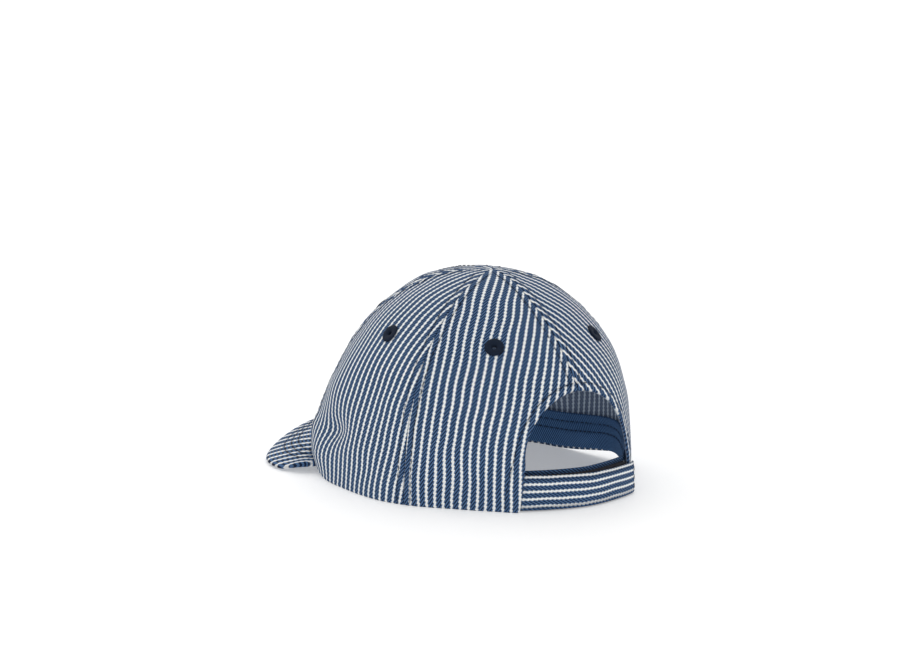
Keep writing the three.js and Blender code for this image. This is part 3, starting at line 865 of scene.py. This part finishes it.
def strip_shell(start, end, inner, outer, bottom, width, end_width, weave=(1, 0)):
    """A strip's wall between two distances from the straps' line.

    weave is how much closer than on a panel the stripes lie, and how far above its top edge their count
    starts.
    """
    length = (end - start) * STRAP_LENGTH
    places = stations(length, 1.2 * MM)
    levels = stations(width, 0.9 * MM)
    share, lift = np.meshgrid(start + places / length * (end - start), levels / width)
    along = np.broadcast_to(places, share.shape)
    here = width + (end_width - width) * along / length
    height = bottom + lift * here
    radius = (outer - inner) / 2
    from_end = np.minimum(along, length - along)
    from_side = np.minimum(lift, 1 - lift) * here
    body = rounding(from_end, radius) * rounding(from_side, radius)
    close_border(body)
    centre = np.full_like(share, (outer + inner) / 2)
    outer_face = strap_place(share, height, centre + radius * body, bottom, width)
    inner_face = strap_place(share, height, centre - radius * body, bottom, width)
    from_row = np.minimum(np.abs(from_side - ROW_FROM_SIDE), np.abs(from_end - ROW_FROM_END))
    closeness, start_above = weave
    cloth = np.stack([(1 - lift) * width * closeness + start_above, along], axis=-1)
    return cloth_shell(outer_face, inner_face, cloth, from_row, np.minimum(from_end, from_side))


# Stitches and eyelets


def add_stitches(sheet, points, outwards):
    """Short lengths of thread along a row of points, each bedded in the cloth."""
    stitching = bpy.context.scene.cap_stitching
    run = run_along(points)
    count = int(run[-1] / stitching.pitch)
    for index in range(count):
        middle = (index + 0.5) * run[-1] / count
        ends = [[np.interp(middle + part * stitching.length / 2, run, points[:, axis]) for axis in range(3)]
                for part in (-1, 1)]
        first, last = np.array(ends)
        out = np.array([np.interp(middle, run, outwards[:, axis]) for axis in range(3)])
        ahead = unit(last - first)
        out = unit(out - ahead * (out @ ahead))
        aside = np.cross(out, ahead)
        centre = (first + last) / 2 + out * stitching.thread * 0.1
        sizes = (stitching.length / 2, stitching.thread / 2 * 1.15, stitching.thread / 2)
        matrix = Matrix.Identity(4)
        for column, (axis, size) in enumerate(zip((ahead, aside, out), sizes)):
            for line in range(3):
                matrix[line][column] = axis[line] * size
        for line in range(3):
            matrix[line][3] = centre[line]
        bmesh.ops.create_uvsphere(sheet, u_segments=6, v_segments=5, radius=1, matrix=matrix)


def line_on_crown(gore, level):
    return cloth_point(gore, level), directions(gore, level)[2]


def seam_stitches():
    """Two rows beside each seam, from the rim or the opening to the top."""
    stitching = bpy.context.scene.cap_stitching
    sheet = bmesh.new()
    for seam in range(-LAST_SEAM + 1, LAST_SEAM + 1):
        low = level_at(OPENING_HEIGHT + 1.5 * MM) if seam == 0 else 0.05
        level = np.linspace(low, TOP_LEVEL - 0.6, 400)
        for side in (-1, 1):
            width = gore_width(seam + side * 0.05, level)
            share = np.minimum(stitching.from_seam / width, 0.33)
            add_stitches(sheet, *line_on_crown(seam + side * share, level))
    return sheet


def hem_stitches():
    """The row round the back opening."""
    stitching = bpy.context.scene.cap_stitching
    sheet = bmesh.new()
    gore, level = opening_line(220)
    points = outer_point(gore, level)
    out = directions(gore, level)[2]
    ahead = unit(np.gradient(points, axis=0))
    aside = unit(np.cross(ahead, out))
    for side in (1, -1):
        width = hem_width(points[:, 2])
        moved = points - aside * width[:, None]
        height = np.clip(moved[:, 2], 1.2 * MM, None)
        row_level = level_at(height)
        row_gore = gore_at(np.maximum(moved[:, 0], 1e-5), row_level)
        add_stitches(sheet, *line_on_crown(side * row_gore, row_level))
    return sheet


def peak_stitches():
    """Rows that follow the peak's edge."""
    sheet = bmesh.new()
    for distance in PEAK_ROWS_FROM_EDGE:
        across = np.cos(np.linspace(0, 1, 300) * math.pi)
        _, length = peak_surface(across, np.zeros_like(across), 1.0)
        kept = length > distance + 1.5 * MM
        across = across[kept]
        out = 1 - distance / length[kept]
        points, _ = peak_surface(across, out, 1.0)
        further_out, _ = peak_surface(across, np.minimum(out + 0.02, 1), 1.0)
        ahead = unit(np.gradient(points, axis=0))
        outwards = unit(np.cross(ahead, further_out - points))
        outwards = outwards * np.sign(outwards[:, 2:3])
        add_stitches(sheet, points, outwards)
    return sheet


def band_stitches():
    """Two rows round the sweatband's inner face."""
    sheet = bmesh.new()
    gores = np.linspace(BAND_GORE + 0.01, 2 * LAST_SEAM - BAND_GORE - 0.01, 900)
    gores = np.where(gores > LAST_SEAM, gores - 2 * LAST_SEAM, gores)
    for share in BAND_ROWS:
        level = np.full_like(gores, level_at(BAND_ABOVE_RIM + share * BAND_HEIGHT))
        smooth = outer_point(gores, level)
        out = directions(gores, level)[2]
        depth = CLOTH + SEAM_GAP + BAND_WALL - np.minimum(relief(gores, level, smooth), 0)
        add_stitches(sheet, smooth - out * depth[:, None], -out)
    return sheet


def strap_stitches():
    """The row across the outer strap's end."""
    sheet = bmesh.new()
    low = STRAP_ABOVE_RIM + STRAP_ROW_MARGIN
    height = np.linspace(low, STRAP_ABOVE_RIM + STRAP_END_WIDTH - STRAP_ROW_MARGIN, 40)
    share = np.full_like(height, STRAP_OUTER_END - ROW_FROM_END / STRAP_LENGTH)
    inner, outer = (
        strap_place(share, height, np.full_like(height, distance), STRAP_ABOVE_RIM, STRAP_WIDTH)
        for distance in (STRAP_DEPTH, STRAP_DEPTH + STRAP_WALL)
    )
    add_stitches(sheet, outer, unit(outer - inner))
    return sheet


STRAP_OUTER_END = 1 - (STRAP_INSIDE - STRAP_END) / STRAP_LENGTH
TAPE_START = STRAP_INSIDE / STRAP_LENGTH
TAPE_STOP = 1 - (STRAP_INSIDE + OPENING_FLARE + TAPE_INSET) / STRAP_LENGTH
TAPE_BOTTOM = STRAP_ABOVE_RIM + 1.2 * MM
STRAP_WEAVE = (1.14, 1.2 * MM)
UNDER_STRAP_WEAVE = (1, 2.9 * MM)

# Half of an eyelet's ring, out from its axis and up from the middle of the cloth, in millimetres, and the
# groove that the cloth lies in.
RING_PROFILE = (
    (4.55, 1.0), (4.5, 1.25), (4.2, 1.45), (3.6, 1.62), (2.9, 1.66), (2.1, 1.55), (1.4, 1.3), (0.95, 0.8),
    (0.9, 0.0),
)
RING_GROOVE = ((2.6, -0.95), (2.3, -0.8), (2.3, 0.8), (2.6, 0.95))
RIDGED_ABOVE = 0.99 * MM
RIDGED_BEYOND = 4 * MM
RING_STEPS = 96
RING_RIDGES = 32
RIDGE_DEPTH = 0.06 * MM


def eyelet_ring(name, side):
    """A ring of satin stitches through the cloth, spun round the eyelet's axis."""
    gore = side * (PANELS[name] + EYELET_SHARES[name])
    level = EYELET_LEVELS[name]
    centre = Vector(cloth_point(gore, level, CLOTH / 2))
    axis = Vector(directions(gore, level)[2])
    turn = axis.to_track_quat("Z", "Y").to_matrix()
    sheet = bmesh.new()
    mirrored = [(radius, -height) for radius, height in RING_PROFILE[-2::-1]]
    corners = [*RING_PROFILE, *mirrored, *RING_GROOVE]
    verts = [sheet.verts.new((radius * MM, 0, height * MM)) for radius, height in corners]
    edges = [sheet.edges.new((verts[i], verts[(i + 1) % len(verts)])) for i in range(len(verts))]
    bmesh.ops.spin(
        sheet, geom=verts + edges, cent=(0, 0, 0), axis=(0, 0, 1), angle=2 * math.pi, steps=RING_STEPS,
        use_merge=True)
    for vert in sheet.verts:
        radius = vert.co.xy.length
        around = math.atan2(vert.co.y, vert.co.x)
        ridge = math.cos(around * RING_RIDGES) * RIDGE_DEPTH * min(1, (radius - EYELET_HOLE) / (1 * MM))
        if abs(vert.co.z) > RIDGED_ABOVE:
            vert.co.z += math.copysign(ridge, vert.co.z)
        if radius > RIDGED_BEYOND:
            vert.co.xy *= 1 + ridge / radius / 2
    bmesh.ops.recalc_face_normals(sheet, faces=sheet.faces)
    for vert in sheet.verts:
        vert.co = centre + turn @ vert.co
    return sheet


# Materials


class Wire:
    """A shader socket that adds Math nodes when it is used in a sum, as in rib * 0.5 + 0.5."""

    def __init__(self, shader, node, socket):
        self.shader = shader
        self.node = node
        self.socket = socket

    def out(self, name):
        return Wire(self.shader, self.node, self.node.outputs[name])

    def math(self, operation, *values):
        return self.shader.add("ShaderNodeMath", {"operation": operation}, dict(enumerate(values)))

    def __add__(self, other):
        return self.math("ADD", self, other)

    def __sub__(self, other):
        return self.math("SUBTRACT", self, other)

    def __mul__(self, other):
        return self.math("MULTIPLY", self, other)

    def __truediv__(self, other):
        return self.math("DIVIDE", self, other)

    def fraction(self):
        return self.math("FRACT", self)

    def absolute(self):
        return self.math("ABSOLUTE", self)

    def sine(self):
        return self.math("SINE", self)

    def step(self, low, high):
        """0 at low to 1 at high, with soft ends; low may be the larger."""
        settings = {"interpolation_type": "SMOOTHSTEP"}
        inputs = {"Value": self, "From Min": low, "From Max": high}
        return self.shader.add("ShaderNodeMapRange", settings, inputs)


class Shader:
    """A material's nodes, all added by one method."""

    def __init__(self, name, roughness, sheen, specular=0.3):
        self.material = bpy.data.materials.new(name)
        self.material.use_nodes = True
        self.tree = self.material.node_tree
        self.surface = self.tree.nodes["Principled BSDF"]
        self.surface.inputs["Roughness"].default_value = roughness
        self.surface.inputs["Specular IOR Level"].default_value = specular
        self.surface.inputs["Sheen Weight"].default_value = sheen

    def add(self, kind, settings=None, inputs=None, output=0):
        node = self.tree.nodes.new(kind)
        for name, value in (settings or {}).items():
            setattr(node, name, value)
        for name, value in (inputs or {}).items():
            if isinstance(value, Wire):
                self.tree.links.new(value.socket, node.inputs[name])
            else:
                node.inputs[name].default_value = value
        return Wire(self, node, node.outputs[output])

    def attribute(self, name, output="Fac"):
        return self.add("ShaderNodeAttribute", {"attribute_name": name}, output=output)

    def vector(self, x, y, z=0.0):
        return self.add("ShaderNodeCombineXYZ", inputs={"X": x, "Y": y, "Z": z})

    def noise(self, place, scale=1.0, detail=2.0):
        return self.add("ShaderNodeTexNoise", inputs={"Vector": place, "Scale": scale, "Detail": detail})

    def blend(self, share, first, second):
        inputs = {0: share, 6: colour_of(first), 7: colour_of(second)}
        return self.add("ShaderNodeMix", {"data_type": "RGBA"}, inputs, output=2)

    def finish(self, colour, height, depth):
        """Joins a colour and a bump, whose height of 1 stands for a depth in metres."""
        bump = self.add("ShaderNodeBump", inputs={"Height": height, "Distance": depth, "Strength": 1.0})
        self.tree.links.new(colour.socket, self.surface.inputs["Base Color"])
        self.tree.links.new(bump.socket, self.surface.inputs["Normal"])
        return self.material


def colour_of(value):
    return value if isinstance(value, Wire) else (*value, 1.0)


WANDER = 2.4


def twill(name, dark, light, white=None, glow=0.0):
    """Twill weave in diagonal ribs, with white stripes along it if a white is given.

    glow is painted light: the cloth glows in its own colour to light the cap's inside. Places in the weave are
    in millimetres, and the warp wanders by up to half of WANDER to either side.
    """
    cloth = bpy.context.scene.cap_cloth
    shader = Shader(name, roughness=0.85, sheen=0.02, specular=0.15)
    place = shader.add("ShaderNodeSeparateXYZ", inputs={"Vector": shader.attribute("cloth", "Vector")})
    across = place * (1 / MM)
    along = place.out("Y") * (1 / MM)
    wander = shader.noise(shader.vector(across * 0.03, along * 0.045), detail=1.0)
    across = across + (wander - 0.5) * WANDER
    yarn = shader.noise(shader.vector(across * 2.4, along * 0.55), detail=2.0)
    weft = shader.noise(shader.vector(across * 0.9, along * 3.0, 7.0), detail=2.0)
    cloudy = shader.noise(shader.vector(across * 0.09, along * 0.06, 3.0), detail=3.0)
    turns = 2 * math.pi / (cloth.rib_pitch / MM * cloth.rib_slope)
    rib_turn = (across * cloth.rib_slope - along) * turns
    rib = (rib_turn + (yarn - 0.5) * 0.8).sine() * 0.5 + 0.5
    tone = rib.step(0.25, 0.75) + (yarn - 0.5) * 0.8 + (weft - 0.5) * 0.6 + (cloudy - 0.5) * 0.3
    colour = shader.blend(tone.step(0.0, 1.0), dark, light)
    height = rib * 0.5 + yarn * 0.5
    if white is not None:
        pitch = cloth.stripe_pitch / MM
        half = cloth.stripe_width / MM / 2
        turn = (across / pitch + (cloth.stripe_phase + 0.5)).fraction()
        from_stripe = (turn - 0.5).absolute() * pitch + (rib - 0.5) * 0.5 + (yarn - 0.5) * 0.3
        mask = from_stripe.step(half + 0.1, half - 0.1)
        shaded_white = [value * 0.9 for value in white]
        shade = shader.blend((rib * 0.35 + weft * 0.5).step(0.1, 0.6), shaded_white, white)
        colour = shader.blend(mask, colour, shade)
        height = height + mask * 0.6
    # Painted shade: the colour darkens towards the dark yarn colour in the stitch rows' grooves and at the
    # seams and edges. The groove mask also sinks the bump.
    row_groove_and_shade = shader.attribute("from_row").step(1.1 * MM, 0.1 * MM)
    edge_painted_shade = shader.attribute("from_edge").step(0.7 * MM, 0.0)
    colour = shader.blend(row_groove_and_shade * 0.4 + edge_painted_shade * 0.3, colour, dark)
    # Painted light: the cloth glows in its own colour as strongly as glow says.
    shader.tree.links.new(colour.socket, shader.surface.inputs["Emission Color"])
    shader.surface.inputs["Emission Strength"].default_value = glow
    return shader.finish(colour, height - row_groove_and_shade * 2.2, 0.11 * MM)


def thread_material():
    stitching = bpy.context.scene.cap_stitching
    shader = Shader("navy_thread", roughness=0.7, sheen=0.0, specular=0.2)
    place = shader.add("ShaderNodeTexCoord", output="Object")
    strands = shader.noise(place, scale=2400, detail=2.0)
    light = [value * 2.2 for value in stitching.colour]
    colour = shader.blend(strands.step(0.35, 0.75), stitching.colour, light)
    return shader.finish(colour, strands, 0.1 * MM)


def tape_material():
    cloth = bpy.context.scene.cap_cloth
    shader = Shader("black_tape", roughness=0.9, sheen=0.0, specular=0.2)
    place = shader.add("ShaderNodeTexCoord", output="Object")
    nap = shader.noise(place, scale=1600, detail=3.0)
    colour = shader.blend(nap.step(0.3, 0.8), cloth.tape, [value * 3 for value in cloth.tape])
    return shader.finish(colour, nap, 0.3 * MM)


def floor_material():
    stage = bpy.context.scene.cap_stage
    shader = Shader("pale_floor", roughness=0.6, sheen=0.0, specular=0.2)
    place = shader.add("ShaderNodeTexCoord", output="Object")
    grain = shader.noise(place, scale=3, detail=2.0)
    colour = shader.blend(grain, stage.floor, [value * 0.99 for value in stage.floor])
    shader.surface.inputs["Emission Color"].default_value = (1, 1, 1, 1)
    shader.surface.inputs["Emission Strength"].default_value = stage.glow
    return shader.finish(colour, grain, 0.01 * MM)


# Painted light: how brightly the inner faces and the sweatband glow in their own colour.
INSIDE_PAINTED_GLOW = 0.06


def material(name):
    """A finish by its name, made when it is first asked for."""
    cloth = bpy.context.scene.cap_cloth
    made = bpy.data.materials.get(name)
    if made:
        return made
    makers = {
        "twill_outside": lambda: twill(name, cloth.blue_dark, cloth.blue_light, cloth.white),
        "twill_inside": lambda: twill(
            name, [value * 0.6 for value in cloth.inside_blue], cloth.inside_blue, cloth.inside_white,
            INSIDE_PAINTED_GLOW),
        "twill_plain": lambda: twill(name, cloth.plain_dark, cloth.plain_light, glow=INSIDE_PAINTED_GLOW),
        "navy_thread": thread_material,
        "black_tape": tape_material,
        "pale_floor": floor_material,
    }
    return makers[name]()


def striped():
    return [material("twill_outside"), material("twill_inside")]


# Operators


class CAP_OT_panels(bpy.types.Operator):
    """Make the crown's six cloth panels"""

    bl_idname = "cap.panels"
    bl_label = "Crown Panels"

    def execute(self, context):
        for word, side in SIDES.items():
            for name in PANELS:
                sheet = panel_shell(name, side)
                replaced = [f"panel_{name}_{word}"]
                finish_object(f"cloth_{name}_{word}", sheet, striped(), replaced)
        return {"FINISHED"}


class CAP_OT_eyelets(bpy.types.Operator):
    """Make the embroidered ring in each panel"""

    bl_idname = "cap.eyelets"
    bl_label = "Eyelets"

    def execute(self, context):
        for word, side in SIDES.items():
            for name in PANELS:
                sheet = eyelet_ring(name, side)
                replaced = [f"eyelet_{name}_{word}"]
                finish_object(f"ring_{name}_{word}", sheet, [material("navy_thread")], replaced)
        return {"FINISHED"}


class CAP_OT_sweatband(bpy.types.Operator):
    """Make the band round the inside of the rim"""

    bl_idname = "cap.sweatband"
    bl_label = "Sweatband"

    def execute(self, context):
        plain = material("twill_plain")
        finish_object("band_cloth", band_shell(), [plain, plain], ["sweatband"])
        return {"FINISHED"}


class CAP_OT_peak(bpy.types.Operator):
    """Make the curved peak"""

    bl_idname = "cap.peak"
    bl_label = "Peak"

    def execute(self, context):
        finish_object("peak_cloth", peak_shell(), [striped()[0]] * 2, ["peak"])
        return {"FINISHED"}


class CAP_OT_straps(bpy.types.Operator):
    """Make the two straps across the back opening and the tape between them"""

    bl_idname = "cap.straps"
    bl_label = "Closure Straps"

    def execute(self, context):
        tape = material("black_tape")
        outer = strip_shell(
            0, STRAP_OUTER_END, STRAP_DEPTH, STRAP_DEPTH + STRAP_WALL, STRAP_ABOVE_RIM, STRAP_WIDTH,
            STRAP_END_WIDTH, STRAP_WEAVE)
        finish_object("strap_outer", outer, [striped()[0]] * 2, ["closure_strap"])
        under = strip_shell(
            0, 1, -STRAP_DEPTH - STRAP_WALL, -STRAP_DEPTH, STRAP_ABOVE_RIM, UNDER_STRAP_WIDTH,
            UNDER_STRAP_WIDTH, UNDER_STRAP_WEAVE)
        finish_object("strap_under", under, [striped()[0]] * 2, ["under_strap"])
        for name, inner, outer_face in (
            ("hook_tape", TAPE_GAP / 2, TAPE_DEPTH),
            ("loop_tape", -TAPE_DEPTH, -TAPE_GAP / 2),
        ):
            sheet = strip_shell(
                TAPE_START, TAPE_STOP, inner, outer_face, TAPE_BOTTOM, TAPE_WIDTH, TAPE_WIDTH)
            finish_object(f"{name}_strip", sheet, [tape, tape], [name])
        return {"FINISHED"}


class CAP_OT_stitching(bpy.types.Operator):
    """Make the stitches of the seams, hems, peak, sweatband and strap"""

    bl_idname = "cap.stitching"
    bl_label = "Stitching"

    def execute(self, context):
        rows = {
            "seam_stitches": seam_stitches,
            "hem_stitches": hem_stitches,
            "peak_stitches": peak_stitches,
            "band_stitches": band_stitches,
            "strap_stitches": strap_stitches,
        }
        for name, make in rows.items():
            finish_object(name, make(), [material("navy_thread")], [])
        return {"FINISHED"}


class CAP_OT_stage(bpy.types.Operator):
    """Make the floor, the lights and the camera"""

    bl_idname = "cap.stage"
    bl_label = "Stage"

    def execute(self, context):
        stage = context.scene.cap_stage
        sheet = bmesh.new()
        bmesh.ops.create_grid(sheet, x_segments=4, y_segments=4, size=FLOOR_HALF_WIDTH)
        mesh = bpy.data.meshes.new("floor")
        sheet.to_mesh(mesh)
        sheet.free()
        mesh.materials.append(material("pale_floor"))
        floor = bpy.data.objects.new("floor", mesh)
        context.scene.collection.objects.link(floor)
        context.scene.view_settings.view_transform = "Standard"
        world = bpy.data.worlds.new("studio")
        world.use_nodes = True
        background = world.node_tree.nodes["Background"]
        background.inputs["Color"].default_value = (1, 1, 1, 1)
        background.inputs["Strength"].default_value = WORLD_STRENGTH
        context.scene.world = world
        target = Vector((0, AXIS_Y, CROWN_HEIGHT / 2))
        for name, bearing, height, width, strength in LAMPS:
            lamp = bpy.data.lights.new(name, "SUN")
            lamp.energy = strength
            lamp.angle = math.radians(width)
            placed = bpy.data.objects.new(name, lamp)
            placed.location = target + view_direction(math.radians(bearing), math.radians(height))
            placed.rotation_euler = (target - placed.location).to_track_quat("-Z", "Y").to_euler()
            context.scene.collection.objects.link(placed)
        camera_data = bpy.data.cameras.new("camera")
        camera_data.lens = stage.lens
        camera_data.sensor_width = SENSOR_WIDTH
        camera_data.shift_x, camera_data.shift_y = CAMERA_SHIFT
        camera = bpy.data.objects.new("camera", camera_data)
        aim = Vector((0, AXIS_Y, AIM_HEIGHT))
        camera.location = aim + view_direction(stage.azimuth, stage.elevation) * stage.distance
        camera.rotation_euler = (aim - camera.location).to_track_quat("-Z", "Y").to_euler()
        context.scene.collection.objects.link(camera)
        context.scene.camera = camera
        return {"FINISHED"}


WORLD_STRENGTH = 0.66
FLOOR_HALF_WIDTH = 12
SENSOR_WIDTH = 36
CAMERA_SHIFT = (-0.047, 0.052)
AIM_HEIGHT = 50 * MM

# Each wide, sun-like lamp: its bearing, height and width in the sky, all in degrees, and its strength.
LAMPS = (
    ("key", 348, 56, 80, 0.95),
    ("back", 170, 22, 40, 0.2),
)


def view_direction(azimuth, elevation):
    flat = math.cos(elevation)
    return Vector((math.sin(azimuth) * flat, -math.cos(azimuth) * flat, math.sin(elevation)))


MAKERS = (
    CAP_OT_panels, CAP_OT_eyelets, CAP_OT_sweatband, CAP_OT_peak, CAP_OT_straps, CAP_OT_stitching,
    CAP_OT_stage,
)


class CAP_PT_sidebar(bpy.types.Panel):
    """Lists what makes the cap"""

    bl_idname = "CAP_PT_sidebar"
    bl_label = "Striped Twill Cap"
    bl_space_type = "VIEW_3D"
    bl_region_type = "UI"
    bl_category = "Cap"

    def draw(self, context):
        for maker in MAKERS:
            self.layout.operator(maker.bl_idname)
        for group in (context.scene.cap_cloth, context.scene.cap_stitching, context.scene.cap_stage):
            box = self.layout.box()
            for name in group.__annotations__:
                box.prop(group, name)


GROUPS = {"cap_cloth": CapCloth, "cap_stitching": CapStitching, "cap_stage": CapStage}


def register():
    for name, group in GROUPS.items():
        bpy.utils.register_class(group)
        setattr(bpy.types.Scene, name, bpy.props.PointerProperty(type=group))
    for item in (*MAKERS, CAP_PT_sidebar):
        bpy.utils.register_class(item)


def unregister():
    for item in reversed((*MAKERS, CAP_PT_sidebar)):
        bpy.utils.unregister_class(item)
    for name, group in reversed(GROUPS.items()):
        delattr(bpy.types.Scene, name)
        bpy.utils.unregister_class(group)


def main():
    register()
    bpy.ops.cap.panels()
    bpy.ops.cap.eyelets()
    bpy.ops.cap.sweatband()
    bpy.ops.cap.peak()
    bpy.ops.cap.straps()
    bpy.ops.cap.stitching()
    bpy.ops.cap.stage()


if __name__ == "__main__":
    main()
